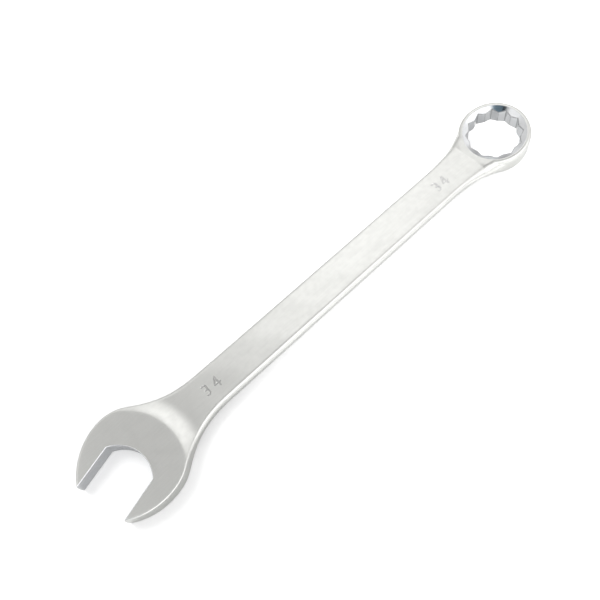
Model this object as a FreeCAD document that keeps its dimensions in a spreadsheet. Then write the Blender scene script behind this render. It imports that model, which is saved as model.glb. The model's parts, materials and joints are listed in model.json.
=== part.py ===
import FreeCAD, Part
import math
import os

import Sketcher
from FreeCAD import Placement, Rotation, Vector

# Combination wrench for a 34 mm hexagon: an open jaw at one end and a twelve-point ring
# at the other, drop forged in one piece from one steel bar.
#
# Frame, in millimetres: the origin is the centre of the nut held in the open jaw, at half
# the head's thickness. +X runs along the shank to the ring end and +Z is up. The jaw opens
# towards -X and is turned by jaw_angle towards -Y.

NODE = "combination_wrench"

DIMENSIONS = {
    "across_flats": 34.3,      # 34 mm nut plus working clearance
    "jaw_angle": 15,           # jaw axis against the shank, degrees
    "jaw_setback": 22.5,       # nut centre to the point where jaw axis and shank axis cross
    "throat_radius": 22.7,     # rounded back of the jaw
    "throat_offset": 3,        # centre of that rounding, from the nut centre to the mouth
    "claw_reach": 14,          # nut centre to the claw tips, along the jaw axis
    "head_half_width": 31.4,   # jaw axis to the widest point of the head
    "head_setback": 16.5,      # nut centre back to the widest points, along the jaw axis
    "cheek_radius": 40.5,      # outline from the widest point forward to the claw tip
    "back_radius": 28,         # outline from the widest point back to the neck
    "neck_radius": 70,         # hollow curve from the head into the shank
    "head_thickness": 12,
    "slope_radius": 40,        # hollow slope from the ground head face down to the shank
    "slope_end": 53.3,         # where that slope meets the shank's face, from the nut centre
    "face_start": 64,          # from here on the shank's faces are cut straight
    "slope_rim": 74.6,         # outer radius of the turned cut that makes the slope
    "bar_start": 26.5,         # start of the forged bar inside the head, from the nut centre
    "shank_width": 25.8,
    "shank_thickness": 8.6,
    "shank_rounding": 2.6,
    "ring_distance": 342.6,    # nut centre to ring centre, along X
    "ring_lift": 2,            # ring centre above the shank's middle plane
    "ring_tilt": 12,           # ring axis leans this far towards the open end, degrees
    "ring_radius": 25.3,
    "ring_height": 15.9,
    "ring_rounding": 2.5,
    "ring_flare": 116,         # hollow curve from the shank into the ring
    "mouth_radius": 22.3,      # outer edge of the socket's lead-in cone
    "mouth_angle": 30,         # lead-in cone against the ring face, degrees
    "root_radius": 30,         # hollow curve under the shank where it deepens to the ring
    "root_depth": 6.3,         # deepest point of that root below the middle plane
    "root_setback": 25.6,      # deepest point of the root back from the ring centre, along X
    "blank_thickness": 26,     # bar before its faces are shaped
}

doc = FreeCAD.newDocument("wrench")


def make_sheet():
    """The spreadsheet that holds every driving dimension."""
    sheet = doc.addObject("Spreadsheet::Sheet", "Sizes")
    for row, (name, value) in enumerate(DIMENSIONS.items(), start=1):
        sheet.set(f"A{row}", name)
        sheet.set(f"B{row}", str(value))
        sheet.setAlias(f"B{row}", name)
    doc.recompute()
    return sheet


size = make_sheet()
jaw_turn = math.radians(size.jaw_angle)
shank_side = size.jaw_setback * math.sin(jaw_turn)
half_width = size.shank_width / 2

SHANK_SIDE = "Sizes.jaw_setback * sin(Sizes.jaw_angle)"
FACE_RADIUS = ("Sizes.slope_end - sqrt(pow(Sizes.slope_radius; 2)"
               " - pow(Sizes.slope_radius - (Sizes.head_thickness - Sizes.shank_thickness) / 2; 2))")


# ---------------------------------------------------------------- sketch helpers

def new_body(label):
    body = doc.addObject("PartDesign::Body", label.replace(" ", "_"))
    body.Label = label
    return body


def new_sketch(body, name, role):
    """A sketch on one of the body's own origin planes."""
    plane = next(item for item in body.Origin.OriginFeatures if item.Role == role)
    sketch = body.newObject("Sketcher::SketchObject", name)
    sketch.AttachmentSupport = [(plane, "")]
    sketch.MapMode = "FlatFace"
    return sketch


def bind(sketch, name, kind, *args):
    """Add a dimension: where it acts, its starting value and the expression it follows."""
    *where, value, expression = args
    index = sketch.addConstraint(Sketcher.Constraint(kind, *where, value))
    sketch.renameConstraint(index, name)
    sketch.setExpression(f"Constraints.{name}", expression)


def relate(sketch, *args):
    sketch.addConstraint(Sketcher.Constraint(*args))


def line(sketch, start, end, construction=False):
    return sketch.addGeometry(Part.LineSegment(start, end), construction)


def arc(sketch, centre, radius, first, last):
    """Arc about centre that runs anticlockwise from the first point's side to the last's."""
    begin = math.atan2(first.y - centre.y, first.x - centre.x)
    finish = math.atan2(last.y - centre.y, last.x - centre.x)
    if finish < begin:
        finish += 2 * math.pi
    circle = Part.Circle(centre, Vector(0, 0, 1), radius)
    return sketch.addGeometry(Part.ArcOfCircle(circle, begin, finish))


def jaw_point(along, across):
    """Point given in the jaw's directions: out along its axis, and across to its left."""
    x = -along * math.cos(jaw_turn) - across * math.sin(jaw_turn)
    y = -along * math.sin(jaw_turn) + across * math.cos(jaw_turn)
    return Vector(x, y, 0)


def towards(start, end, distance):
    """The point at this distance from start on the line to end."""
    return start + (end - start).normalize() * distance


def add_jaw_axis(sketch):
    """Construction line from the nut centre to the mouth of the jaw."""
    axis = line(sketch, Vector(0, 0, 0), jaw_point(size.claw_reach, 0), True)
    relate(sketch, "Coincident", axis, 1, -1, 1)
    mouth = jaw_point(size.claw_reach, 0)
    bind(sketch, "mouth_x", "DistanceX", -1, 1, axis, 2, mouth.x,
         "-Sizes.claw_reach * cos(Sizes.jaw_angle)")
    bind(sketch, "mouth_y", "DistanceY", -1, 1, axis, 2, mouth.y,
         "-Sizes.claw_reach * sin(Sizes.jaw_angle)")
    return axis


def add_widest_line(sketch, axis):
    """Construction line across the head through its two widest points."""
    left = jaw_point(-size.head_setback, size.head_half_width)
    right = jaw_point(-size.head_setback, -size.head_half_width)
    widest = line(sketch, left, right, True)
    relate(sketch, "Symmetric", widest, 1, widest, 2, axis)
    bind(sketch, "head_width", "Distance", widest, 2 * size.head_half_width,
         "2 * Sizes.head_half_width")
    bind(sketch, "head_setback", "Distance", -1, 1, widest, size.head_setback,
         "Sizes.head_setback")
    return widest


def back_centre(side):
    return jaw_point(-size.head_setback, side * (size.head_half_width - size.back_radius))


def back_point(side, along):
    """Point of the head's back outline at this place along the jaw axis."""
    run = along + size.head_setback
    rise = math.sqrt(size.back_radius ** 2 - run ** 2)
    return jaw_point(along, side * (size.head_half_width - size.back_radius + rise))


# ---------------------------------------------------------------- the ground head

def face_radius():
    drop = (size.head_thickness - size.shank_thickness) / 2
    return size.slope_end - math.sqrt(size.slope_radius ** 2 - (size.slope_radius - drop) ** 2)


def face_corner(side):
    """Where the ground face's rear arc crosses the head's back outline."""
    centre = back_centre(side)
    reach = centre.Length
    along = (face_radius() ** 2 - size.back_radius ** 2 + reach ** 2) / (2 * reach)
    across = math.sqrt(face_radius() ** 2 - along ** 2)
    direction = centre * (1 / reach)
    normal = Vector(-direction.y, direction.x, 0)
    return direction * along + normal * (side * across)


def sketch_head(body):
    """Jaw, cheeks and back of the head, closed by the rear arc of the ground face."""
    sketch = new_sketch(body, "HeadOutline", "XY_Plane")
    axis = add_jaw_axis(sketch)
    widest = add_widest_line(sketch, axis)
    nut = Vector(0, 0, 0)
    half_jaw = size.across_flats / 2
    throat_run = size.throat_offset - math.sqrt(size.throat_radius ** 2 - half_jaw ** 2)
    cheek_offset = size.cheek_radius - size.head_half_width
    tip_rise = math.sqrt(size.cheek_radius ** 2 - (size.claw_reach + size.head_setback) ** 2)
    flats, tips, cheeks, backs = {}, {}, {}, {}
    for side in (1, -1):
        inner = jaw_point(size.claw_reach, side * half_jaw)
        outer = jaw_point(size.claw_reach, side * (tip_rise - cheek_offset))
        wide = jaw_point(-size.head_setback, side * size.head_half_width)
        flats[side] = line(sketch, jaw_point(throat_run, side * half_jaw), inner)
        tips[side] = line(sketch, inner, outer)
        ends = (outer, wide) if side < 0 else (wide, outer)
        cheek_centre = jaw_point(-size.head_setback, -side * cheek_offset)
        cheeks[side] = arc(sketch, cheek_centre, size.cheek_radius, *ends)
        ends = (wide, face_corner(side)) if side < 0 else (face_corner(side), wide)
        backs[side] = arc(sketch, back_centre(side), size.back_radius, *ends)
    face = arc(sketch, nut, face_radius(), face_corner(-1), face_corner(1))
    throat = arc(sketch, jaw_point(size.throat_offset, 0), size.throat_radius,
                 jaw_point(throat_run, -half_jaw), jaw_point(throat_run, half_jaw))
    relate(sketch, "Coincident", face, 3, -1, 1)
    relate(sketch, "PointOnObject", throat, 3, axis)
    bind(sketch, "throat_offset", "Distance", -1, 1, throat, 3, size.throat_offset,
         "Sizes.throat_offset")
    bind(sketch, "face_radius", "Radius", face, face_radius(), FACE_RADIUS)
    bind(sketch, "throat_radius", "Radius", throat, size.throat_radius, "Sizes.throat_radius")
    for side, word in ((1, "left"), (-1, "right")):
        flat, tip, cheek, back = flats[side], tips[side], cheeks[side], backs[side]
        near, far = (1, 2) if side > 0 else (2, 1)     # arc ends towards the back and the tip
        relate(sketch, "Parallel", flat, axis)
        relate(sketch, "Perpendicular", tip, axis)
        relate(sketch, "PointOnObject", axis, 2, tip)
        relate(sketch, "Coincident", flat, 2, tip, 1)
        relate(sketch, "Coincident", tip, 2, cheek, far)
        relate(sketch, "Coincident", cheek, near, widest, 1 if side > 0 else 2)
        relate(sketch, "Coincident", back, far, widest, 1 if side > 0 else 2)
        relate(sketch, "PointOnObject", cheek, 3, widest)
        relate(sketch, "PointOnObject", back, 3, widest)
        relate(sketch, "Coincident", back, near, face, 2 if side > 0 else 1)
        relate(sketch, "Coincident", flat, 1, throat, 2 if side > 0 else 1)
        bind(sketch, f"{word}_flat", "Distance", -1, 1, flat, half_jaw, "Sizes.across_flats / 2")
        bind(sketch, f"{word}_cheek", "Radius", cheek, size.cheek_radius, "Sizes.cheek_radius")
        bind(sketch, f"{word}_back", "Radius", back, size.back_radius, "Sizes.back_radius")
    return sketch


def make_head():
    """Flat ground head with the open jaw."""
    body = new_body("Ground head")
    pad = body.newObject("PartDesign::Pad", "HeadPad")
    pad.Profile = sketch_head(body)
    pad.Midplane = True
    pad.setExpression("Length", "Sizes.head_thickness")
    return body


# ---------------------------------------------------------------- the forged bar

def sketch_bar(body):
    """Plan outline of the bar: back of the head, necks, straight shank and ring flares."""
    sketch = new_sketch(body, "BarOutline", "XY_Plane")
    axis = add_jaw_axis(sketch)
    widest = add_widest_line(sketch, axis)
    ring = Vector(size.ring_distance, shank_side, 0)
    wheel = sketch.addGeometry(Part.Circle(ring, Vector(0, 0, 1), size.ring_radius), True)
    bind(sketch, "ring_x", "DistanceX", -1, 1, wheel, 3, ring.x, "Sizes.ring_distance")
    bind(sketch, "ring_y", "DistanceY", -1, 1, wheel, 3, ring.y, SHANK_SIDE)
    bind(sketch, "ring_radius", "Radius", wheel, size.ring_radius, "Sizes.ring_radius")
    starts, ends = {}, {}
    for side, word in ((1, "left"), (-1, "right")):
        edge = shank_side + side * half_width
        head = back_centre(side)
        start = back_point(side, -size.bar_start)
        rise = abs(edge + side * size.neck_radius - head.y)
        neck = Vector(head.x + math.sqrt((size.back_radius + size.neck_radius) ** 2 - rise ** 2),
                      edge + side * size.neck_radius, 0)
        rise = half_width + size.ring_flare
        flare = Vector(ring.x - math.sqrt((size.ring_radius + size.ring_flare) ** 2 - rise ** 2),
                       shank_side + side * rise, 0)
        leave_head = towards(head, neck, size.back_radius)
        meet_ring = towards(ring, flare, size.ring_radius)
        near, far = Vector(neck.x, edge, 0), Vector(flare.x, edge, 0)
        pairs = [(head, size.back_radius, start, leave_head, -1),
                 (neck, size.neck_radius, leave_head, near, 1),
                 (flare, size.ring_flare, far, meet_ring, 1)]
        arcs = [arc(sketch, centre, radius, *((a, b) if turn * side > 0 else (b, a)))
                for centre, radius, a, b, turn in pairs]
        back, hollow, spread = arcs
        shank = line(sketch, near, far)
        first, last = (2, 1) if side > 0 else (1, 2)   # ends of an arc that bulges outwards
        relate(sketch, "PointOnObject", back, 3, widest)
        relate(sketch, "PointOnObject", widest, 1 if side > 0 else 2, back)
        relate(sketch, "Tangent", back, last, hollow, last)
        relate(sketch, "Tangent", hollow, first, shank, 1)
        relate(sketch, "Tangent", shank, 2, spread, last)
        relate(sketch, "Horizontal", shank)
        relate(sketch, "Tangent", spread, first, wheel)
        bind(sketch, f"{word}_back", "Radius", back, size.back_radius, "Sizes.back_radius")
        bind(sketch, f"{word}_neck", "Radius", hollow, size.neck_radius, "Sizes.neck_radius")
        bind(sketch, f"{word}_flare", "Radius", spread, size.ring_flare, "Sizes.ring_flare")
        bind(sketch, f"{word}_edge", "DistanceY", -1, 1, shank, 1, edge,
             f"{SHANK_SIDE} + {side} * Sizes.shank_width / 2")
        starts[side] = (back, first, start)
        ends[side] = (spread, first, meet_ring)
    for pair, word in ((starts, "start"), (ends, "end")):
        closing = line(sketch, pair[1][2], pair[-1][2])
        relate(sketch, "Coincident", closing, 1, *pair[1][:2])
        relate(sketch, "Coincident", closing, 2, *pair[-1][:2])
        if word == "start":
            relate(sketch, "Perpendicular", closing, axis)
            bind(sketch, "bar_start", "Distance", -1, 1, closing, size.bar_start,
                 "Sizes.bar_start")
    return sketch


def closed_profile(sketch, points):
    """Joined straight lines through the points and back to the first; gives the lines."""
    lines = [line(sketch, start, end) for start, end in zip(points, points[1:] + points[:1])]
    for first, second in zip(lines, lines[1:] + lines[:1]):
        relate(sketch, "Coincident", first, 2, second, 1)
    return lines


def box_profile(sketch, name, low, high, words):
    """Rectangle between two corners; words gives the four expressions in the same order."""
    corners = [low, Vector(high.x, low.y, 0), high, Vector(low.x, high.y, 0)]
    bottom, right, top, left = closed_profile(sketch, corners)
    for edge in (bottom, top):
        relate(sketch, "Horizontal", edge)
    for edge in (right, left):
        relate(sketch, "Vertical", edge)
    values = (low.x, low.y, high.x, high.y)
    kinds = ("DistanceX", "DistanceY", "DistanceX", "DistanceY")
    ends = ((bottom, 1), (bottom, 1), (top, 1), (top, 1))
    for place, (kind, end, value, word) in enumerate(zip(kinds, ends, values, words)):
        bind(sketch, f"{name}_{place}", kind, -1, 1, *end, value, word)


def cut_slopes(body):
    """Turned cut that leaves a hollow slope from the head down to the shank, on both faces."""
    rim = size.slope_rim
    depth = size.blank_thickness / 2 + 1
    level = size.shank_thickness / 2
    inner = size.slope_end - size.slope_radius / 2
    rise = size.slope_radius - math.sqrt(size.slope_radius ** 2 - (size.slope_radius / 2) ** 2)
    groove = None
    for side, word in ((1, "Upper"), (-1, "Lower")):
        sketch = new_sketch(body, f"{word}Slope", "XZ_Plane")
        centre = Vector(size.slope_end, side * (level + size.slope_radius), 0)
        high, low = Vector(inner, side * (level + rise), 0), Vector(size.slope_end, side * level, 0)
        slope = arc(sketch, centre, size.slope_radius, *((high, low) if side > 0 else (low, high)))
        head_end, shank_end = (1, 2) if side > 0 else (2, 1)
        floor = line(sketch, low, Vector(rim, low.y, 0))
        back = line(sketch, Vector(rim, low.y, 0), Vector(rim, side * depth, 0))
        roof = line(sketch, Vector(rim, side * depth, 0), Vector(inner, side * depth, 0))
        front = line(sketch, Vector(inner, side * depth, 0), high)
        relate(sketch, "Tangent", slope, shank_end, floor, 1)
        for first, second in ((floor, back), (back, roof), (roof, front)):
            relate(sketch, "Coincident", first, 2, second, 1)
        relate(sketch, "Coincident", front, 2, slope, head_end)
        for flat in (floor, roof):
            relate(sketch, "Horizontal", flat)
        for upright in (back, front):
            relate(sketch, "Vertical", upright)
        bind(sketch, "radius", "Radius", slope, size.slope_radius, "Sizes.slope_radius")
        bind(sketch, "end_x", "DistanceX", -1, 1, slope, shank_end, low.x, "Sizes.slope_end")
        bind(sketch, "end_z", "DistanceY", -1, 1, slope, shank_end, low.y,
             f"{side} * Sizes.shank_thickness / 2")
        bind(sketch, "start_x", "DistanceX", -1, 1, slope, head_end, inner,
             "Sizes.slope_end - Sizes.slope_radius / 2")
        bind(sketch, "rim_x", "DistanceX", -1, 1, floor, 2, rim, "Sizes.slope_rim")
        bind(sketch, "roof_z", "DistanceY", -1, 1, roof, 1, side * depth,
             f"{side} * (Sizes.blank_thickness / 2 + 1)")
        groove = body.newObject("PartDesign::Groove", f"{word}SlopeCut")
        groove.Profile = sketch
        groove.ReferenceAxis = (sketch, ["V_Axis"])
        groove.Angle = 360
    return groove


def cut_faces(body):
    """Cut the broad faces of the shank, leaving the deeper root under the ring end."""
    top = new_sketch(body, "UpperFace", "XZ_Plane")
    start, end = size.face_start, size.ring_distance
    depth = size.blank_thickness / 2 + 1
    level = size.shank_thickness / 2
    box_profile(top, "upper", Vector(start, level, 0), Vector(end, depth, 0),
                ("Sizes.face_start", "Sizes.shank_thickness / 2",
                 "Sizes.ring_distance", "Sizes.blank_thickness / 2 + 1"))
    lower = new_sketch(body, "LowerFace", "XZ_Plane")
    deepest = Vector(size.ring_distance - size.root_setback, -size.root_depth, 0)
    drop = size.root_depth - level
    run = math.sqrt(size.root_radius ** 2 - (size.root_radius - drop) ** 2)
    leave = Vector(deepest.x - run, -level, 0)
    climb = size.root_setback * math.tan(math.radians(size.ring_tilt))
    finish = Vector(end, -size.root_depth + climb, 0)
    corners = [finish, Vector(end, -depth, 0), Vector(start, -depth, 0), Vector(start, -level, 0)]
    root = arc(lower, Vector(leave.x, -level - size.root_radius, 0), size.root_radius,
               deepest, leave)
    ramp = line(lower, deepest, finish)
    stretch = [line(lower, a, b) for a, b in zip(corners, corners[1:] + [leave])]
    right, bottom, left, flat = stretch
    relate(lower, "Coincident", root, 1, ramp, 1)
    for first, second in zip([ramp] + stretch, stretch):
        relate(lower, "Coincident", first, 2, second, 1)
    relate(lower, "Tangent", flat, 2, root, 2)
    for edge in (bottom, flat):
        relate(lower, "Horizontal", edge)
    for edge in (left, right):
        relate(lower, "Vertical", edge)
    bind(lower, "radius", "Radius", root, size.root_radius, "Sizes.root_radius")
    bind(lower, "deepest_x", "DistanceX", -1, 1, root, 1, deepest.x,
         "Sizes.ring_distance - Sizes.root_setback")
    bind(lower, "deepest_z", "DistanceY", -1, 1, root, 1, deepest.y, "-Sizes.root_depth")
    bind(lower, "level", "DistanceY", -1, 1, flat, 1, -level, "-Sizes.shank_thickness / 2")
    bind(lower, "start_x", "DistanceX", -1, 1, flat, 1, start, "Sizes.face_start")
    bind(lower, "floor_z", "DistanceY", -1, 1, bottom, 1, -depth,
         "-Sizes.blank_thickness / 2 - 1")
    bind(lower, "end_x", "DistanceX", -1, 1, ramp, 2, finish.x, "Sizes.ring_distance")
    bind(lower, "end_z", "DistanceY", -1, 1, ramp, 2, finish.y,
         "-Sizes.root_depth + Sizes.root_setback * tan(Sizes.ring_tilt)")
    for sketch, name in ((top, "UpperFaceCut"), (lower, "LowerFaceCut")):
        pocket = body.newObject("PartDesign::Pocket", name)
        pocket.Profile = sketch
        pocket.Midplane = True
        pocket.Type = "ThroughAll"
    return pocket


def round_edges(body, base):
    """Round the four long edges; each rounding runs on through the necks and flares."""
    long_edges = []
    for number, edge in enumerate(base.Shape.Edges, start=1):
        middle = edge.CenterOfMass
        on_side = abs(abs(middle.y - shank_side) - half_width) < 0.01
        on_face = abs(abs(middle.z) - size.shank_thickness / 2) < 0.01
        if on_side and on_face and edge.Length > size.ring_distance / 2:
            long_edges.append(f"Edge{number}")
    fillet = body.newObject("PartDesign::Fillet", "ShankRounding")
    fillet.Base = (base, long_edges)
    fillet.setExpression("Radius", "Sizes.shank_rounding")
    return fillet


def grind_head(body):
    """Grind the head end of the bar flat to the head's thickness, on both faces."""
    depth = size.blank_thickness / 2 + 1
    half = size.head_thickness / 2
    for side, word in ((1, "Upper"), (-1, "Lower")):
        sketch = new_sketch(body, f"{word}Grind", "XZ_Plane")
        levels = sorted((side * half, side * depth))
        words = [f"{side} * Sizes.head_thickness / 2",
                 f"{side} * (Sizes.blank_thickness / 2 + 1)"][::side]
        box_profile(sketch, "grind", Vector(-size.slope_end, levels[0], 0),
                    Vector(size.slope_end, levels[1], 0),
                    ("-Sizes.slope_end", words[0], "Sizes.slope_end", words[1]))
        pocket = body.newObject("PartDesign::Pocket", f"{word}GrindCut")
        pocket.Profile = sketch
        pocket.Midplane = True
        pocket.Type = "ThroughAll"


def make_bar():
    """Forged bar: necks, shank and flares, with rounded edges."""
    body = new_body("Forged bar")
    pad = body.newObject("PartDesign::Pad", "BarPad")
    pad.Profile = sketch_bar(body)
    pad.Midplane = True
    pad.setExpression("Length", "Sizes.blank_thickness")
    doc.recompute()
    cut_slopes(body)
    doc.recompute()
    faces = cut_faces(body)
    doc.recompute()
    round_edges(body, faces)
    doc.recompute()
    grind_head(body)
    doc.recompute()
    return body


# ---------------------------------------------------------------- the ring and its socket

def set_on_ring_axis(body):
    """Place a body at the ring's centre and lean it towards the open end."""
    body.Placement = Placement(Vector(0, 0, 0), Rotation(Vector(0, -1, 0), size.ring_tilt))
    body.setExpression("Placement.Base.x", "Sizes.ring_distance")
    body.setExpression("Placement.Base.y", SHANK_SIDE)
    body.setExpression("Placement.Base.z", "Sizes.ring_lift")
    body.setExpression("Placement.Rotation.Angle", "Sizes.ring_tilt")


def make_ring():
    """Solid ring blank with rounded outer edges; the socket is cut from it later."""
    body = new_body("Ring blank")
    sketch = new_sketch(body, "RingOutline", "XY_Plane")
    circle = sketch.addGeometry(Part.Circle(Vector(0, 0, 0), Vector(0, 0, 1), size.ring_radius))
    relate(sketch, "Coincident", circle, 3, -1, 1)
    bind(sketch, "radius", "Radius", circle, size.ring_radius, "Sizes.ring_radius")
    pad = body.newObject("PartDesign::Pad", "RingPad")
    pad.Profile = sketch
    pad.Midplane = True
    pad.setExpression("Length", "Sizes.ring_height")
    doc.recompute()
    rims = [f"Edge{number}" for number, edge in enumerate(pad.Shape.Edges, start=1)
            if edge.Curve.TypeId == "Part::GeomCircle"]
    fillet = body.newObject("PartDesign::Fillet", "RingRounding")
    fillet.Base = (pad, rims)
    fillet.setExpression("Radius", "Sizes.ring_rounding")
    set_on_ring_axis(body)
    return body


def sketch_hexagon(body):
    """Hexagon of the nut, turned so that two such hexagons leave a vertex on the shank."""
    sketch = new_sketch(body, "Hexagon", "XY_Plane")
    corner_radius = size.across_flats / (2 * math.cos(math.pi / 6))
    corners = [Vector(corner_radius * math.cos(turn), corner_radius * math.sin(turn), 0)
               for turn in (math.radians(15 + 60 * step) for step in range(6))]
    sides = closed_profile(sketch, corners)
    circle = sketch.addGeometry(Part.Circle(Vector(0, 0, 0), Vector(0, 0, 1), corner_radius), True)
    relate(sketch, "Coincident", circle, 3, -1, 1)
    for side in sides:
        relate(sketch, "PointOnObject", side, 1, circle)
    for first, second in zip(sides, sides[1:-1]):
        relate(sketch, "Equal", first, second)
    relate(sketch, "Equal", sides[0], sides[-1])
    radius = "Sizes.across_flats / (2 * cos(30))"
    bind(sketch, "corner_radius", "Radius", circle, corner_radius, radius)
    bind(sketch, "corner_y", "DistanceY", -1, 1, sides[0], 1, corners[0].y,
         f"{radius} * sin(15)")
    return sketch


def sketch_mouths(body):
    """Half section of the two lead-in cones, one at each face of the ring."""
    sketch = new_sketch(body, "Mouths", "XZ_Plane")
    slope = math.tan(math.radians(size.mouth_angle))
    face = size.ring_height / 2
    outside = size.ring_height
    wide = size.mouth_radius + (outside - face) / slope
    waist = size.across_flats / 2
    level = face - (size.mouth_radius - waist) * slope
    corners = [Vector(0, -outside, 0), Vector(wide, -outside, 0), Vector(waist, -level, 0),
               Vector(waist, level, 0), Vector(wide, outside, 0), Vector(0, outside, 0)]
    floor, lower, core, upper, roof, spindle = closed_profile(sketch, corners)
    for edge in (floor, roof):
        relate(sketch, "Horizontal", edge)
    for edge in (core, spindle):
        relate(sketch, "Vertical", edge)
    relate(sketch, "PointOnObject", spindle, 1, -2)
    wide_word = "Sizes.mouth_radius + Sizes.ring_height / 2 / tan(Sizes.mouth_angle)"
    level_word = ("(Sizes.ring_height / 2"
                  " - (Sizes.mouth_radius - Sizes.across_flats / 2) * tan(Sizes.mouth_angle))")
    bind(sketch, "waist", "DistanceX", -1, 1, core, 1, waist, "Sizes.across_flats / 2")
    for cone, end, side in ((lower, 1, -1), (upper, 2, 1)):
        word = "lower" if side < 0 else "upper"
        bind(sketch, f"{word}_wide", "DistanceX", -1, 1, cone, end, wide, wide_word)
        bind(sketch, f"{word}_outside", "DistanceY", -1, 1, cone, end, side * outside,
             f"{side} * Sizes.ring_height")
        bind(sketch, f"{word}_level", "DistanceY", -1, 1, cone, 3 - end, side * level,
             f"{side} * {level_word}")
    return sketch


def make_socket():
    """The twelve-point hole and its lead-in cones, as the solid that is cut away."""
    body = new_body("Socket cutter")
    prism = body.newObject("PartDesign::Pad", "HexagonPad")
    prism.Profile = sketch_hexagon(body)
    prism.Midplane = True
    prism.setExpression("Length", "2 * Sizes.ring_height")
    pattern = body.newObject("PartDesign::PolarPattern", "TwelvePoints")
    pattern.Originals = [prism]
    axis = next(item for item in body.Origin.OriginFeatures if item.Role == "Z_Axis")
    pattern.Axis = (axis, [""])
    pattern.Angle = 60
    pattern.Occurrences = 2
    pattern.Mode = "Spacing"
    pattern.Offset = 30
    body.Tip = pattern
    doc.recompute()
    cones = body.newObject("PartDesign::Revolution", "LeadIns")
    cones.Profile = sketch_mouths(body)
    cones.ReferenceAxis = (cones.Profile[0], ["V_Axis"])
    cones.Angle = 360
    body.Tip = cones
    set_on_ring_axis(body)
    return body


# ---------------------------------------------------------------- the finished forging

def join(label, kind, **links):
    result = doc.addObject(kind, label.replace(" ", "_"))
    result.Label = label
    for name, value in links.items():
        setattr(result, name, value)
    return result


def make_wrench():
    forging = join("Wrench blank", "Part::MultiFuse",
                   Shapes=[make_bar(), make_head(), make_ring()], Refine=True)
    wrench = join(NODE, "Part::Cut", Base=forging, Tool=make_socket(), Refine=True)
    doc.recompute()
    return wrench


def check(parts):
    """Stop if any object failed, or if a part is not one sound solid."""
    failed = [item.Label for item in doc.Objects
              if "Invalid" in item.State or "Error" in item.State]
    if failed:
        raise RuntimeError(f"objects failed: {failed}")
    for part in parts:
        if part.Shape.isNull() or not part.Shape.isValid() or len(part.Shape.Solids) != 1:
            raise RuntimeError(f"{part.Label} is not one valid solid")


def main():
    wrench = make_wrench()
    check([wrench])
    os.makedirs("parts", exist_ok=True)
    wrench.Shape.exportStep(f"parts/{wrench.Label}.step")


main()
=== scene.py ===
"""Looks of the combination wrench: one forged, ground and plated piece on a pale floor.

The surface is worked out in millimetres in the CAD frame, as a signed distance that is negative
inside the steel, and turned into a mesh. The jaw, the twelve-point socket and the stamped size
numbers are then cut into it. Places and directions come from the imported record's mounts.
"""
import json
import math

import bmesh
import bpy
import numpy as np
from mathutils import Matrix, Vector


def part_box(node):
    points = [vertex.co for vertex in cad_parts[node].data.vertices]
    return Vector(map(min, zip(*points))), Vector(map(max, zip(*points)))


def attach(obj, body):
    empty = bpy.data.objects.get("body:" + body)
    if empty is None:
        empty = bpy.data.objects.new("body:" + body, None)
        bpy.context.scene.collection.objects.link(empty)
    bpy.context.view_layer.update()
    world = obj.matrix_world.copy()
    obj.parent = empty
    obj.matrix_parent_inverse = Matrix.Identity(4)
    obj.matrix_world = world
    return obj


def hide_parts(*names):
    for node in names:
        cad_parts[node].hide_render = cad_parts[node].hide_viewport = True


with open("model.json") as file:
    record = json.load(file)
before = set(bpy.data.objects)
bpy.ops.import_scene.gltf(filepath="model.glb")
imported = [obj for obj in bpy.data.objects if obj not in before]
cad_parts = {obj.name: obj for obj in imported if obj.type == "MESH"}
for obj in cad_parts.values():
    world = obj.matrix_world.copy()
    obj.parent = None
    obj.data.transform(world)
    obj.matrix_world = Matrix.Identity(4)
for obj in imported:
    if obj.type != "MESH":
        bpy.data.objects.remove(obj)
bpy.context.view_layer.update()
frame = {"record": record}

import openvdb
from mathutils import Quaternion, Vector

MM = 0.001
NODE = "combination_wrench"
PIECE = "wrench_forging"
SLOT_COUNT = 5              # material slots, one for each way in which the steel was worked
FORGED, MILLED, BROACHED, STAMPED_DEEP, STAMPED_LIGHT = range(SLOT_COUNT)

# ---------------------------------------------------------------- sizes, in millimetres

mounts = {mount["name"]: mount for mount in frame["record"]["mounts"]}


def mount_point(name):
    return np.array(mounts[name]["pos_m"]) / MM


RING_CENTRE = mount_point("ring_socket")
RING_AXIS = np.array(mounts["ring_socket"]["axis"])
FLAT_TO_FLAT = mount_point("jaw_flat_left") - mount_point("jaw_flat_right")
ACROSS_FLATS = float(np.linalg.norm(FLAT_TO_FLAT))
ACROSS = FLAT_TO_FLAT / ACROSS_FLATS                    # across the jaw, to its left
ALONG = np.array([-ACROSS[1], ACROSS[0], 0.0])          # out of the jaw, along its axis
SHANK_Y = float(RING_CENTRE[1])
HALF_HEAD = -float(mount_point("head_underside")[2])

CLAW_REACH = 14.0           # nut centre to the claw tips, at the ground faces
CLAW_CROWN = 0.8            # the tips stand this much further out at half thickness
TIP_ROUNDING = 0.6          # edge between the tips and the rest, and at the shank's hidden end
THROAT_RADIUS = 22.7
THROAT_OFFSET = 3.0
JAW_CHAMFER = 0.35
HEAD_HALF_WIDTH = 31.4
HEAD_SETBACK = 16.5
CHEEK_RADIUS = 40.5
BACK_RADIUS = 28.0
NECK_RADIUS = 70.0
HEAD_ROUNDING = 0.7         # edge between the head's ground faces and its outline
HEAD_EDGE_REACH = 36.0      # nut centre to where the edge rounding starts to grow
SHANK_EDGE_REACH = 60.0     # nut centre to where it is the shank's
FACE_ROUNDING = 0.5         # ridge between a ground face and the slope behind it
SLOPE_RADIUS = 40.0
SLOPE_END = 53.3
SHANK_HALF_WIDTH = 12.9
SHANK_HALF_THICKNESS = 4.3
SHANK_ROUNDING = 2.6
FLARE_ROUNDING = 5.5        # the long edges are rounder where the shank widens to the ring
ROOT_RADIUS = 30.0
ROOT_DEPTH = 6.3
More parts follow.
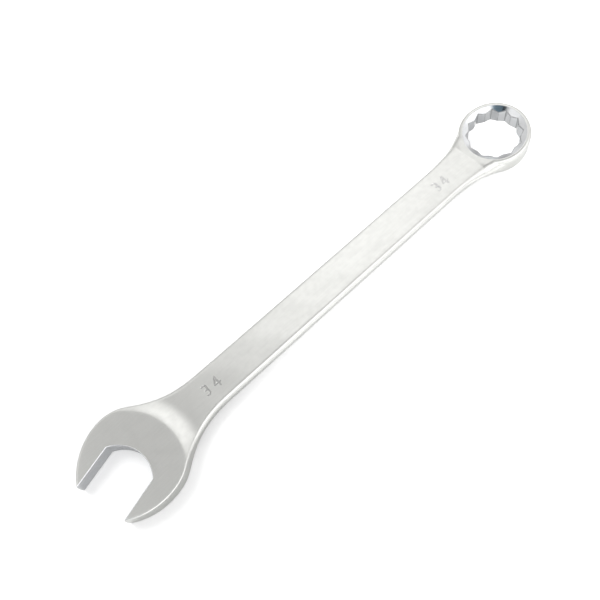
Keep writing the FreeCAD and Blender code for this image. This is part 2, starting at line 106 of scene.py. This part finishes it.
ROOT_X = float(RING_CENTRE[0]) - 25.6       # deepest point of the root under the shank
FLARE_START_X = ROOT_X - 25.0
FLARE_END_X = ROOT_X + 5.0
SHANK_END_X = float(RING_CENTRE[0]) - 10.0  # the shank ends out of sight, inside the ring
FLARE_RADIUS = 116.0
RING_RADIUS = 25.3
RING_HALF_HEIGHT = 7.95
RING_ROUNDING = 2.5
RING_COVE = 9.0             # hollow where the shank's faces run up to the ring
UNEVENNESS = 0.035          # height of each of the waves on the shank's forged faces
WAVE_FADE = 30.0            # the waves start over this length behind the head's slope
CROWN = 0.25                # the shank's upper face falls by this much towards its long edges
MOUTH_RADIUS = 22.3         # wide end of the lead-in cone, at the ring's face
MOUTH_ANGLE = math.radians(30)
CELL = 0.6                  # size of the surface's mesh cells
NUMBER_CELL = 0.18          # and of those of the size numbers' grooves


# ---------------------------------------------------------------- solid shapes as distances

def overlap(first, second, radius):
    """What lies in both solids, with the edge between them rounded."""
    first, second = first + radius, second + radius
    beyond = np.hypot(np.maximum(first, 0), np.maximum(second, 0))
    return np.minimum(np.maximum(first, second), 0) + beyond - radius


def joined(first, second, radius):
    """Both solids as one, with a hollow of this radius along the line where they meet."""
    return -overlap(-first, -second, radius)


def smooth_step(low, high, value):
    share = np.clip((value - low) / (high - low), 0, 1)
    return share * share * (3 - 2 * share)


def jaw_point(along, across):
    return (along * ALONG + across * ACROSS)[:2]


def beyond_line(x, y, first, second, side):
    """True past the line through two arc centres, which is where one arc hands over to the next."""
    run = second - first
    return side * (run[0] * (y - first[1]) - run[1] * (x - first[0])) < 0


def side_outline(x, y, side):
    """Distance from one side of the plan outline: cheek, back, neck, shank, flare and ring."""
    ring = RING_CENTRE[:2]
    cheek = jaw_point(-HEAD_SETBACK, side * (HEAD_HALF_WIDTH - CHEEK_RADIUS))
    back = jaw_point(-HEAD_SETBACK, side * (HEAD_HALF_WIDTH - BACK_RADIUS))
    rise = SHANK_Y + side * (SHANK_HALF_WIDTH + NECK_RADIUS) - back[1]
    neck = back + (math.sqrt((BACK_RADIUS + NECK_RADIUS) ** 2 - rise ** 2), rise)
    rise = side * (SHANK_HALF_WIDTH + FLARE_RADIUS)
    flare = ring + (-math.sqrt((RING_RADIUS + FLARE_RADIUS) ** 2 - rise ** 2), rise)

    def from_centre(centre):
        return np.hypot(x - centre[0], y - centre[1])

    along = x * ALONG[0] + y * ALONG[1]
    distance = np.where(along > -HEAD_SETBACK, from_centre(cheek) - CHEEK_RADIUS,
                        from_centre(back) - BACK_RADIUS)
    distance = np.where(beyond_line(x, y, back, neck, side), NECK_RADIUS - from_centre(neck), distance)
    distance = np.where(x > neck[0], side * (y - SHANK_Y) - SHANK_HALF_WIDTH, distance)
    distance = np.where(x > flare[0], FLARE_RADIUS - from_centre(flare), distance)
    return np.where(beyond_line(x, y, ring, flare, side), from_centre(ring) - RING_RADIUS, distance)


def outline(x, y):
    """Distance from the whole plan outline, before the jaw is cut."""
    middle = np.minimum(x * ALONG[1] / ALONG[0], SHANK_Y)
    return np.where(y > middle, side_outline(x, y, 1), side_outline(x, y, -1))


def shank_faces(x, reach, z):
    """Distance from the broad faces: hollow slope behind the head, flat shank, deeper root."""
    height = np.abs(z)
    slope = SLOPE_RADIUS - np.hypot(SLOPE_END - reach, SHANK_HALF_THICKNESS + SLOPE_RADIUS - height)
    faces = np.where(reach < SLOPE_END, slope, height - SHANK_HALF_THICKNESS)
    drop = ROOT_DEPTH - SHANK_HALF_THICKNESS
    start = ROOT_X - math.sqrt(ROOT_RADIUS ** 2 - (ROOT_RADIUS - drop) ** 2)
    hollow = ROOT_RADIUS - np.hypot(x - start, z + SHANK_HALF_THICKNESS + ROOT_RADIUS)
    climb = -RING_AXIS[0] / RING_AXIS[2]
    ramp = (-ROOT_DEPTH + (x - ROOT_X) * climb - z) * RING_AXIS[2]
    root = np.where(x < ROOT_X, hollow, ramp)
    return np.where((z < 0) & (x > start), root, faces)


def unevenness(x, y, z):
    """Slow waves left by forging and grinding on the shank's faces, and a crown on the upper one."""
    waves = np.sin(x / 5.3 + y / 6.1) + np.sin(x / 8.9 - y / 4.7 + 1.0) + np.sin(x / 13.3 + y / 5.9 + 2.0)
    crown = ((y - SHANK_Y) / SHANK_HALF_WIDTH) ** 2 * (z > 0)
    share = smooth_step(SLOPE_END, SLOPE_END + WAVE_FADE, x) * smooth_step(-BACK_RADIUS, 0, ROOT_X - x)
    return share * (UNEVENNESS * waves + CROWN * crown)


def ring_frame(x, y, z):
    """Distance out from the ring's leaning axis, and height along it."""
    x, y, z = x - RING_CENTRE[0], y - RING_CENTRE[1], z - RING_CENTRE[2]
    height = x * RING_AXIS[0] + y * RING_AXIS[1] + z * RING_AXIS[2]
    return np.sqrt(np.maximum(x * x + y * y + z * z - height * height, 0)), height


def bar(x, y, z):
    """Head and shank: the outline and the faces, with rounded edges and a hollow up to the ring."""
    reach = np.hypot(x, y)
    faces = shank_faces(x, reach, z) + unevenness(x, y, z)
    faces = overlap(faces, np.abs(z) - HALF_HEAD, FACE_ROUNDING)
    radius, height = ring_frame(x, y, z)
    cove = joined(faces, radius - RING_RADIUS, RING_COVE)
    faces = np.minimum(faces, overlap(cove, np.abs(height) - RING_HALF_HEIGHT, RING_ROUNDING))
    past_head = smooth_step(HEAD_EDGE_REACH, SHANK_EDGE_REACH, reach)
    rounding = HEAD_ROUNDING + (SHANK_ROUNDING - HEAD_ROUNDING) * past_head
    rounding = rounding + (FLARE_ROUNDING - SHANK_ROUNDING) * smooth_step(FLARE_START_X, FLARE_END_X, x)
    body = overlap(outline(x, y), faces, rounding)
    along = x * ALONG[0] + y * ALONG[1]
    tips = along - CLAW_REACH - CLAW_CROWN * (1 - (z / HALF_HEAD) ** 2)
    return overlap(overlap(body, tips, TIP_ROUNDING), x - SHANK_END_X, TIP_ROUNDING)


def ring(x, y, z):
    """The ring as a solid disc on its leaning axis."""
    radius, height = ring_frame(x, y, z)
    return overlap(radius - RING_RADIUS, np.abs(height) - RING_HALF_HEIGHT, RING_ROUNDING)


def blank(x, y, z):
    """The whole forging, before the jaw and the socket are cut."""
    return np.minimum(bar(x, y, z), ring(x, y, z))


# ---------------------------------------------------------------- from distance to mesh

def slope_of(shape, points):
    """Distance at each point, and how fast it grows along each axis."""
    small = 0.01
    steps = small * np.eye(3)
    grow = [shape(*(points + step).T) - shape(*(points - step).T) for step in steps]
    slope = np.stack(grow, axis=1) / (2 * small)
    return shape(*points.T), slope


def onto_surface(shape, points):
    """Every point moved onto the surface, in a few steps along the slope of the distance."""
    least = 0.1
    for _ in range(3):
        distance, slope = slope_of(shape, points)
        points = points - slope * (distance / np.maximum((slope * slope).sum(1), least))[:, None]
    return points


def evened(points, quads):
    """Every point moved half of the way to the middle of its neighbours."""
    ends = np.concatenate([quads, np.roll(quads, 1, axis=1)]).reshape(-1)
    others = np.concatenate([np.roll(quads, 1, axis=1), quads]).reshape(-1)
    total = np.stack([np.bincount(ends, points[others, axis], len(points)) for axis in range(3)], 1)
    count = np.bincount(ends, minlength=len(points))
    return points + 0.5 * (total / count[:, None] - points)


def skin(shape, low, high, cell):
    """Points and quads of the surface of a shape, in cells of even size."""
    spare = 4 * cell
    axes = [np.arange(a - spare, b + spare, cell) for a, b in zip(low, high)]
    values = shape(*np.meshgrid(*axes, indexing="ij", sparse=True)).astype(np.float32)
    grid = openvdb.FloatGrid(background=float(values.max()))
    grid.copyFromArray(values)
    points, quads = grid.convertToQuads(0.0)[:2]
    points = np.array([axis[0] for axis in axes]) + points.astype(float) * cell
    quads = quads.astype(int)
    for _ in range(3):
        points = onto_surface(shape, evened(points, quads))
    return points, quads


def new_mesh(name, points, faces):
    """Mesh object from points in millimetres."""
    mesh = bpy.data.meshes.new(name)
    mesh.from_pydata(np.asarray(points, float) * MM, [], [list(map(int, face)) for face in faces])
    mesh.validate()
    made = bpy.data.objects.new(name, mesh)
    bpy.context.scene.collection.objects.link(made)
    return made


# ---------------------------------------------------------------- tools that cut the forging

def lofted(name, loops):
    """Closed mesh through loops of points at rising heights, with a cap at each end."""
    count = len(loops[0])
    points = [point for loop in loops for point in loop]
    faces = [list(range(count))[::-1], list(range(len(points) - count, len(points)))]
    for level in range(len(loops) - 1):
        for step in range(count):
            ahead = (step + 1) % count
            base = level * count
            faces.append([base + step, base + ahead, base + ahead + count, base + step + count])
    return new_mesh(name, points, faces)


THROAT_POINTS = 49          # along the arc of the jaw's throat
MOUTH_POINTS = 192          # round the lead-in cones


def jaw_loop(offset, height):
    """Outline of the jaw's opening, wider all round by the offset."""
    half = ACROSS_FLATS / 2 + offset
    radius = THROAT_RADIUS + offset
    turn = math.asin(half / radius)
    arc = [(THROAT_OFFSET - radius * math.cos(angle), radius * math.sin(angle))
           for angle in np.linspace(-turn, turn, THROAT_POINTS)]
    outside = CLAW_REACH + HALF_HEAD
    loop = [(outside, -half)] + arc + [(outside, half)]
    return [along * ALONG + across * ACROSS + (0, 0, height) for along, across in loop]


def jaw_tool():
    """The open jaw, with a small chamfer at both ground faces."""
    clear = 2.0
    edge = HALF_HEAD - JAW_CHAMFER
    levels = [(JAW_CHAMFER + clear, -HALF_HEAD - clear), (0, -edge), (0, edge),
              (JAW_CHAMFER + clear, HALF_HEAD + clear)]
    return lofted("jaw_tool", [jaw_loop(*level) for level in levels])


RING_SIDE = np.array([0.0, 1.0, 0.0])
RING_AHEAD = np.cross(RING_SIDE, RING_AXIS)


def ring_loop(radii, turns, height):
    """Points round the ring's axis, at this height along it."""
    return [RING_CENTRE + radius * (math.cos(turn) * RING_AHEAD + math.sin(turn) * RING_SIDE)
            + height * RING_AXIS for radius, turn in zip(radii, turns)]


def star_tool():
    """Twelve-point hole: two hexagons turned 30 degrees from each other."""
    corner = ACROSS_FLATS / 2 / math.cos(math.pi / 6)
    notch = ACROSS_FLATS / 2 / math.cos(math.pi / 12)
    turns = [step * math.pi / 12 for step in range(24)]
    radii = [notch, corner] * 12
    past_faces = 20.0
    return lofted("star_tool", [ring_loop(radii, turns, height) for height in (-past_faces, past_faces)])


def mouth_tool():
    """Lead-in cones at both faces of the ring, joined through the middle."""
    turns = np.linspace(0, 2 * math.pi, MOUTH_POINTS, endpoint=False)
    clear = 3.0
    waist = ACROSS_FLATS / 2 - 1
    inside = RING_HALF_HEIGHT - (MOUTH_RADIUS - waist) * math.tan(MOUTH_ANGLE)
    wide = MOUTH_RADIUS + clear / math.tan(MOUTH_ANGLE)
    levels = [(wide, -RING_HALF_HEIGHT - clear), (waist, -inside), (waist, inside),
              (wide, RING_HALF_HEIGHT + clear)]
    loops = [ring_loop([radius] * MOUTH_POINTS, turns, height) for radius, height in levels]
    return lofted("mouth_tool", loops)


# Size number: plain digits, each drawn round its own middle.
DIGIT_HALF_HEIGHT = 3.4
DIGIT_SPACING = 8.2
STROKE_HALF_WIDTH = 0.55
BOWL_RADIUS = DIGIT_HALF_HEIGHT / 2
FOUR_STEM_X = 0.8
FOUR_BAR_Y = -1.3
FOUR_LEFT_X = -2.2
FOUR_RIGHT_X = 2.1
NUMBERS = ((74.5, 0.5, STAMPED_DEEP), (283.3, 0.28, STAMPED_LIGHT))    # place along, depth, slot


def from_segment(x, y, start, end):
    """Distance from a straight stroke."""
    run_x, run_y = end[0] - start[0], end[1] - start[1]
    share = ((x - start[0]) * run_x + (y - start[1]) * run_y) / (run_x ** 2 + run_y ** 2)
    share = np.clip(share, 0, 1)
    return np.hypot(x - start[0] - share * run_x, y - start[1] - share * run_y)


def from_bowl(x, y, height):
    """Distance from a round bowl of the digit 3, open to the left."""
    y = y - height
    away = np.abs(np.hypot(x, y) - BOWL_RADIUS)
    outer_turn = math.radians(120)
    turn = np.abs(np.arctan2(y, x))
    towards_middle = np.sign(-height) * y > 0
    end_y = np.sign(height) * BOWL_RADIUS * math.sin(outer_turn)
    outer_end = np.hypot(x - BOWL_RADIUS * math.cos(outer_turn), y - end_y)
    inner_end = np.hypot(x, y + np.sign(height) * BOWL_RADIUS)
    ends = np.minimum(outer_end, inner_end)
    on_arc = np.where(towards_middle, turn < math.pi / 2, turn < outer_turn)
    return np.where(on_arc, away, ends)


def from_three(x, y):
    return np.minimum(from_bowl(x, y, BOWL_RADIUS), from_bowl(x, y, -BOWL_RADIUS))


def from_four(x, y):
    top = (FOUR_STEM_X, DIGIT_HALF_HEIGHT)
    foot = (FOUR_STEM_X, -DIGIT_HALF_HEIGHT)
    left = (FOUR_LEFT_X, FOUR_BAR_Y)
    right = (FOUR_RIGHT_X, FOUR_BAR_Y)
    strokes = [(top, left), (left, right), (top, foot)]
    return np.minimum.reduce([from_segment(x, y, *stroke) for stroke in strokes])


def number_tool(place, depth):
    """Rounded grooves of the size number, read along the shank towards the ring."""
    radius = (STROKE_HALF_WIDTH ** 2 + depth ** 2) / (2 * depth)
    level = SHANK_HALF_THICKNESS + radius - depth

    def grooves(x, y, z):
        x, y = x - place, y - SHANK_Y
        three = from_three(x + DIGIT_SPACING / 2, y)
        four = from_four(x - DIGIT_SPACING / 2, y)
        return np.hypot(np.minimum(three, four), z - level) - radius

    reach = np.array([DIGIT_SPACING, DIGIT_HALF_HEIGHT + radius, radius])
    middle = np.array([place, SHANK_Y, level])
    return new_mesh("number_tool", *skin(grooves, middle - reach, middle + reach, NUMBER_CELL))


def cut(piece, tool, slot):
    """Take the tool's volume out of the piece; the faces it leaves get this material slot."""
    for mesh in (piece.data, tool.data):
        while len(mesh.materials) < SLOT_COUNT:
            mesh.materials.append(None)
    tool.data.polygons.foreach_set("material_index", [slot] * len(tool.data.polygons))
    modifier = piece.modifiers.new("cut", "BOOLEAN")
    modifier.operation = "DIFFERENCE"
    modifier.solver = "MANIFOLD"
    modifier.object = tool
    bpy.context.view_layer.update()
    graph = bpy.context.evaluated_depsgraph_get()
    piece.data = bpy.data.meshes.new_from_object(piece.evaluated_get(graph))
    piece.modifiers.clear()
    bpy.data.objects.remove(tool)


node_low, node_high = (np.array(corner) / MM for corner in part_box(NODE))
wrench = new_mesh(PIECE, *skin(blank, node_low, node_high, CELL))
cut(wrench, jaw_tool(), MILLED)
cut(wrench, star_tool(), BROACHED)
cut(wrench, mouth_tool(), BROACHED)
for place, depth, slot in NUMBERS:
    cut(wrench, number_tool(place, depth), slot)


def mark_sharp_edges(mesh):
    """Smooth shading, but crisp where a cut meets the forging and at the corners of a cut."""
    corner = math.radians(25)
    mesh.shade_smooth()
    shape = bmesh.new()
    shape.from_mesh(mesh)
    for edge in shape.edges:
        slots = {face.material_index for face in edge.link_faces}
        edge.smooth = slots == {FORGED} or (len(slots) == 1 and edge.calc_face_angle(0) < corner)
    shape.to_mesh(mesh)
    shape.free()


mark_sharp_edges(wrench.data)

# ---------------------------------------------------------------- materials


class Nodes:
    """A material's or the world's node tree, with short calls to add nodes to it."""

    def __init__(self, owner):
        owner.use_nodes = True
        self.tree = owner.node_tree
        self.tree.nodes.clear()

    def add(self, kind, inputs=(), **settings):
        node = self.tree.nodes.new("ShaderNode" + kind)
        for name, value in settings.items():
            setattr(node, name, value)
        for name, value in dict(inputs).items():
            self.set(node.inputs[name], value)
        return node

    def set(self, socket, value):
        if isinstance(value, bpy.types.NodeSocket):
            self.tree.links.new(value, socket)
        else:
            socket.default_value = value

    def math(self, operation, *values):
        return self.add("Math", enumerate(values), operation=operation).outputs[0]

    def ramp(self, value, low, high, start=0.0, end=1.0):
        """A smooth change from start to end while value goes from low to high."""
        inputs = {"Value": value, "From Min": low, "From Max": high, "To Min": start, "To Max": end}
        return self.add("MapRange", inputs, interpolation_type="SMOOTHSTEP").outputs[0]

    def noise(self, place, scale, detail, stretch=(1, 1, 1)):
        """Noise of this many cells per metre, drawn out along the axes where stretch is small."""
        inputs = {"Vector": place, "Scale": stretch}
        spread = self.add("Mapping", inputs).outputs[0]
        return self.add("TexNoise", {"Vector": spread, "Scale": scale, "Detail": detail}).outputs[0]

    def mix(self, share, first, second):
        node = self.add("Mix", data_type="RGBA")
        self.set(node.inputs["Factor"], share)
        self.set(node.inputs["A"], first)
        self.set(node.inputs["B"], second)
        return node.outputs["Result"]


CLOUD_SCALE = 260           # noise cells per metre: dull and bright patches,
LINE_SCALE = 1800           # tool marks
GRAIN_SCALE = 2600          # and fine grain
LINE_HEIGHT = 0.015
GRAIN_HEIGHT = 0.02
DULL_TONE = 0.92            # of the duller patches, against the tint
CLOUD_ROUGHNESS = 0.04      # added in the patches,
LINE_ROUGHNESS = 0.06       # added along the tool marks
EDGE_ROUGHNESS = -0.08      # and taken off worn edges
ALONG_SHANK = (0.04, 1, 1)  # stretch that draws the tool marks out in this direction
THROUGH_HEAD = (1, 1, 0.04)
EVERY_WAY = (1, 1, 1)
PALE_EDGE = 1.06            # tone of a worn edge, against the tint
PAINTED_DARK_LINE = 0.25            # tone of painted shade lines along the edges and corners of the broached hole
SOCKET_RADIUS = 20.3        # the painted shade lines end just outside the hole's corners,
CONE_RADIUS = 21.0          # so the rim of the lead-in cone gets none of them


def in_socket(nodes, place):
    """One inside the corners of the twelve-point hole, nothing out at the rim of its lead-in cone."""
    centre = tuple(RING_CENTRE * MM)
    away = nodes.add("VectorMath", [(0, place), (1, centre)], operation="SUBTRACT").outputs[0]
    pair = [(0, away), (1, tuple(RING_AXIS))]
    across = nodes.add("VectorMath", pair, operation="CROSS_PRODUCT").outputs[0]
    radius = nodes.add("VectorMath", [(0, across)], operation="LENGTH").outputs["Value"]
    return nodes.ramp(radius, CONE_RADIUS * MM, SOCKET_RADIUS * MM)


def plated(name, tint, roughness, marks, edge_tone=PALE_EDGE, edge_width=0.4):
    """Plating: patches, tool marks, fine grain, and smoother edges: a little paler as wear, far paler as a
    painted highlight where edge_tone is high, and dark as painted shade inside the hole.
    """
    material = bpy.data.materials.new(name)
    nodes = Nodes(material)
    place = nodes.add("TexCoord").outputs["Object"]
    cloud = nodes.noise(place, CLOUD_SCALE, 5)
    grain = nodes.noise(place, GRAIN_SCALE, 2)
    lines = nodes.noise(place, LINE_SCALE, 3, marks)
    smoothed = nodes.add("Bevel", {"Radius": edge_width * MM}, samples=6).outputs[0]
    normal = nodes.add("NewGeometry").outputs["Normal"]
    along = nodes.add("VectorMath", [(0, smoothed), (1, normal)], operation="DOT_PRODUCT").outputs["Value"]
    edge_wear_and_painted_light = nodes.ramp(along, 0.998, 0.93)       # where the rounded edge's normal leaves the face's own
    # An edge tone below one is painted shade: dark lines at the edges, kept inside the hole.
    if edge_tone < 1:
        edge_wear_and_painted_light = nodes.math("MULTIPLY", edge_wear_and_painted_light, in_socket(nodes, place))
    dull = tuple(DULL_TONE * channel for channel in tint)
    patchy = nodes.math("MULTIPLY_ADD", lines, 0.6, nodes.math("MULTIPLY", cloud, 0.6))
    colour = nodes.mix(nodes.ramp(patchy, 0.35, 0.85), (*tint, 1), (*dull, 1))
    edge = tuple(min(1.0, edge_tone * channel) for channel in tint)
    colour = nodes.mix(edge_wear_and_painted_light, colour, (*edge, 1))
    rough = nodes.math("MULTIPLY_ADD", nodes.ramp(cloud, 0.3, 0.7), CLOUD_ROUGHNESS, roughness)
    rough = nodes.math("MULTIPLY_ADD", lines, LINE_ROUGHNESS, rough)
    rough = nodes.math("MULTIPLY_ADD", edge_wear_and_painted_light, EDGE_ROUGHNESS, rough)
    inputs = {"Height": grain, "Distance": GRAIN_HEIGHT * MM, "Strength": 0.35, "Normal": smoothed}
    bump = nodes.add("Bump", inputs).outputs[0]
    inputs = {"Height": lines, "Distance": LINE_HEIGHT * MM, "Strength": 0.5, "Normal": bump}
    bump = nodes.add("Bump", inputs).outputs[0]
    inputs = {"Metallic": 1.0, "Base Color": colour, "Roughness": rough, "Normal": bump}
    shader = nodes.add("BsdfPrincipled", inputs)
    nodes.add("OutputMaterial", {"Surface": shader.outputs[0]})
    return material


materials = [plated("satin_forged", (0.81, 0.812, 0.785), 0.27, ALONG_SHANK),
             plated("milled_steel", (0.79, 0.80, 0.815), 0.20, THROUGH_HEAD),
             # The broached hole's edges get dark lines of painted shade.
             plated("broached_steel", (0.80, 0.81, 0.82), 0.07, THROUGH_HEAD, PAINTED_DARK_LINE, 1.1),
             # The grooves' darker tints are painted shade, strongest in the deep number by the head; its
             # edge tone of 1.7 paints highlights along the groove rims.
             plated("stamped_deep", (0.50, 0.50, 0.49), 0.24, EVERY_WAY, 1.7),
             plated("stamped_light", (0.76, 0.76, 0.75), 0.24, EVERY_WAY)]
for slot, material in enumerate(materials):
    wrench.data.materials[slot] = material
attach(wrench, "root")
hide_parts(NODE)

# ---------------------------------------------------------------- floor, light and camera

FLOOR_HALF_SIZE = 3000.0
FLOOR_DIM_X = 40.0          # the floor is paler from the head towards the ring, as a painted pool of light
FLOOR_BRIGHT_X = 160.0
FLOOR_TONE = 0.58           # where it is dim
FLOOR_GAIN = 0.22           # added where it is bright
FLOOR_CLOUD = 0.03
GLOW_SEEN = 0.55            # the floor's own light, as the camera sees it
GLOW_MIRRORED = 0.2         # and as the steel mirrors it, only from the floor on the near side
GLOW_FADE_X = 356.0         # the mirrored glow ends at the ring's far end
GLOW_END_X = 368.0


def floor_below(points):
    """A point of the floor and its slope: it touches the claw tips and the low side of the ring."""
    towards_tips = 0.001
    head = points[points[:, 0] < 0]
    far = points[points[:, 0] > RING_CENTRE[0] - RING_RADIUS - 10]
    first = head[np.argmin(head[:, 2] + towards_tips * head[:, 0])]
    second = far[np.argmin(far[:, 2])]
    slope = (second[2] - first[2]) / (second[0] - first[0])
    return first, slope


def make_floor(points):
    """Plain pale floor with a painted pool of light towards the ring, and some light of its own."""
    first, slope = floor_below(points)
    middle = np.array([RING_CENTRE[0] / 2, SHANK_Y])
    corners = []
    for side_x, side_y in ((-1, -1), (1, -1), (1, 1), (-1, 1)):
        x = middle[0] + side_x * FLOOR_HALF_SIZE
        y = middle[1] + side_y * FLOOR_HALF_SIZE
        corners.append((x, y, first[2] + (x - first[0]) * slope))
    floor = new_mesh("floor", corners, [(0, 1, 2, 3)])
    material = bpy.data.materials.new("pale_floor")
    nodes = Nodes(material)
    place = nodes.add("TexCoord").outputs["Object"]
    cloud = nodes.noise(place, 6, 3)
    split = nodes.add("SeparateXYZ", {"Vector": place})
    # Painted light: a pool of light on the floor, rising from the head towards the ring.
    ringward = nodes.ramp(split.outputs["X"], FLOOR_DIM_X * MM, FLOOR_BRIGHT_X * MM)
    edge = SHANK_Y - SHANK_HALF_WIDTH
    beside = nodes.ramp(split.outputs["Y"], (edge - 1) * MM, (edge - 5) * MM)
    tone = nodes.math("MULTIPLY_ADD", ringward, FLOOR_GAIN, FLOOR_TONE)
    tone = nodes.math("MULTIPLY_ADD", cloud, FLOOR_CLOUD, tone)
    colour = nodes.add("CombineColor", {"Red": tone, "Green": tone, "Blue": tone}).outputs[0]
    path = nodes.add("LightPath")
    mirrored = nodes.math("MULTIPLY", path.outputs["Is Glossy Ray"], beside)
    short_of_end = nodes.ramp(split.outputs["X"], GLOW_END_X * MM, GLOW_FADE_X * MM)
    mirrored = nodes.math("MULTIPLY", mirrored, short_of_end)
    glow = nodes.math("MULTIPLY", nodes.math("MULTIPLY", mirrored, ringward), GLOW_MIRRORED)
    glow = nodes.math("MULTIPLY_ADD", path.outputs["Is Camera Ray"], GLOW_SEEN, glow)
    inputs = {"Base Color": colour, "Roughness": 0.8, "Emission Color": colour, "Emission Strength": glow}
    shader = nodes.add("BsdfPrincipled", inputs)
    nodes.add("OutputMaterial", {"Surface": shader.outputs[0]})
    floor.data.materials.append(material)


coordinates = np.zeros(len(wrench.data.vertices) * 3, np.float32)
wrench.data.vertices.foreach_get("co", coordinates)
make_floor(coordinates.reshape(-1, 3).astype(float) / MM)


TENT = 1.08                 # brightness of the light tent all round
AREAS = (                   # direction, degrees from it to the outer and inner edge, brightness added
    ((-0.055, 0.35, 0.935), 14, 9, -0.74),      # dark, high up: the head's ground face mirrors it
    ((0.40, 0.36, 0.84), 20, 5, 0.33),          # bright, high up beyond the shank
    ((-0.2, 0.93, 0.3), 45, 25, -0.3),          # dim far wall
    ((0.0, -0.9, 0.3), 55, 35, 0.6),            # bright near wall
    ((0.85, 0.45, 0.2), 28, 15, -0.4),          # dim wall past the ring
    ((0.58, 0.26, 0.77), 11, 4, -0.1),          # slightly dim, high up past the ring
    ((0.12, -0.17, 0.97), 18, 8, -0.6))         # dark, almost straight up
SEAM = -0.5                 # brightness added along a seam overhead, which runs the way the shank does
CAMERA_SPOT = ((-0.56, -0.23, 0.80), 16, 7)     # the camera, as seen from the ring
CAMERA_SHADE = -0.85
CAMERA_COLOUR = (0.55, 0.8, 1.0, 1)
HORIZON = 0.4               # brightness left at the foot of the tent, as a share


def make_world():
    """Light tent: bright all round, with softer and darker areas, and dimmer down to its foot."""
    world = bpy.data.worlds.new("studio")
    bpy.context.scene.world = world
    nodes = Nodes(world)
    direction = nodes.add("TexCoord").outputs["Generated"]

    def facing(towards, wide, narrow):
        """One within the narrow angle from this direction, falling to nothing at the wide one."""
        pair = [(0, direction), (1, tuple(Vector(towards).normalized()))]
        share = nodes.add("VectorMath", pair, operation="DOT_PRODUCT").outputs["Value"]
        return nodes.ramp(share, math.cos(math.radians(wide)), math.cos(math.radians(narrow)))

    camera = facing(*CAMERA_SPOT)
    split = nodes.add("SeparateXYZ", {"Vector": direction})
    height = split.outputs["Z"]
    sideways = nodes.math("ABSOLUTE", split.outputs["Y"])
    seam = nodes.math("MULTIPLY", nodes.ramp(sideways, 0.14, 0.04), nodes.ramp(height, 0.5, 0.7))
    light = TENT
    for towards, wide, narrow, added in AREAS:
        light = nodes.math("MULTIPLY_ADD", facing(towards, wide, narrow), added, light)
    light = nodes.math("MULTIPLY_ADD", seam, SEAM, light)
    light = nodes.math("MULTIPLY_ADD", camera, CAMERA_SHADE, light)
    light = nodes.math("MULTIPLY", light, nodes.ramp(height, 0.05, 0.4, HORIZON, 1.0))
    seen = nodes.add("LightPath").outputs["Is Camera Ray"]
    light = nodes.math("MAXIMUM", light, seen)
    colour = nodes.mix(camera, (1, 1, 1, 1), CAMERA_COLOUR)
    background = nodes.add("Background", {"Color": colour, "Strength": light})
    nodes.add("OutputWorld", {"Surface": background.outputs[0]})


make_world()


SUN_STRENGTH = 2.0
SUN_SPREAD = math.radians(35)
SUN_FROM = Vector((-0.1, 0.6, 0.8))


def add_sun():
    """Soft light from beyond the wrench, for the shadow on its near side; the steel doesn't mirror it."""
    data = bpy.data.lights.new("sun", "SUN")
    data.energy = SUN_STRENGTH
    data.angle = SUN_SPREAD
    sun = bpy.data.objects.new("sun", data)
    bpy.context.scene.collection.objects.link(sun)
    sun.rotation_mode = "QUATERNION"
    sun.rotation_quaternion = SUN_FROM.to_track_quat("Z", "Y")
    sun.visible_glossy = False


add_sun()


CAMERA_PLACE = Vector((48.4, -123.9, 348.3))
CAMERA_AIM = Vector((153.4, 11.2, 0.0))
CAMERA_ROLL = math.radians(-6.42)
SENSOR_WIDTH = 36.0
LENS = 36.0                 # focal length


def add_camera():
    """The photograph's viewpoint."""
    data = bpy.data.cameras.new("camera")
    data.sensor_width = SENSOR_WIDTH
    data.lens = LENS
    data.clip_start = 0.01
    camera = bpy.data.objects.new("camera", data)
    bpy.context.scene.collection.objects.link(camera)
    camera.location = CAMERA_PLACE * MM
    look = (CAMERA_AIM - CAMERA_PLACE).to_track_quat("-Z", "Y") @ Quaternion((0, 0, 1), CAMERA_ROLL)
    camera.rotation_mode = "QUATERNION"
    camera.rotation_quaternion = look
    bpy.context.scene.camera = camera


add_camera()
bpy.context.scene.view_settings.view_transform = "Standard"
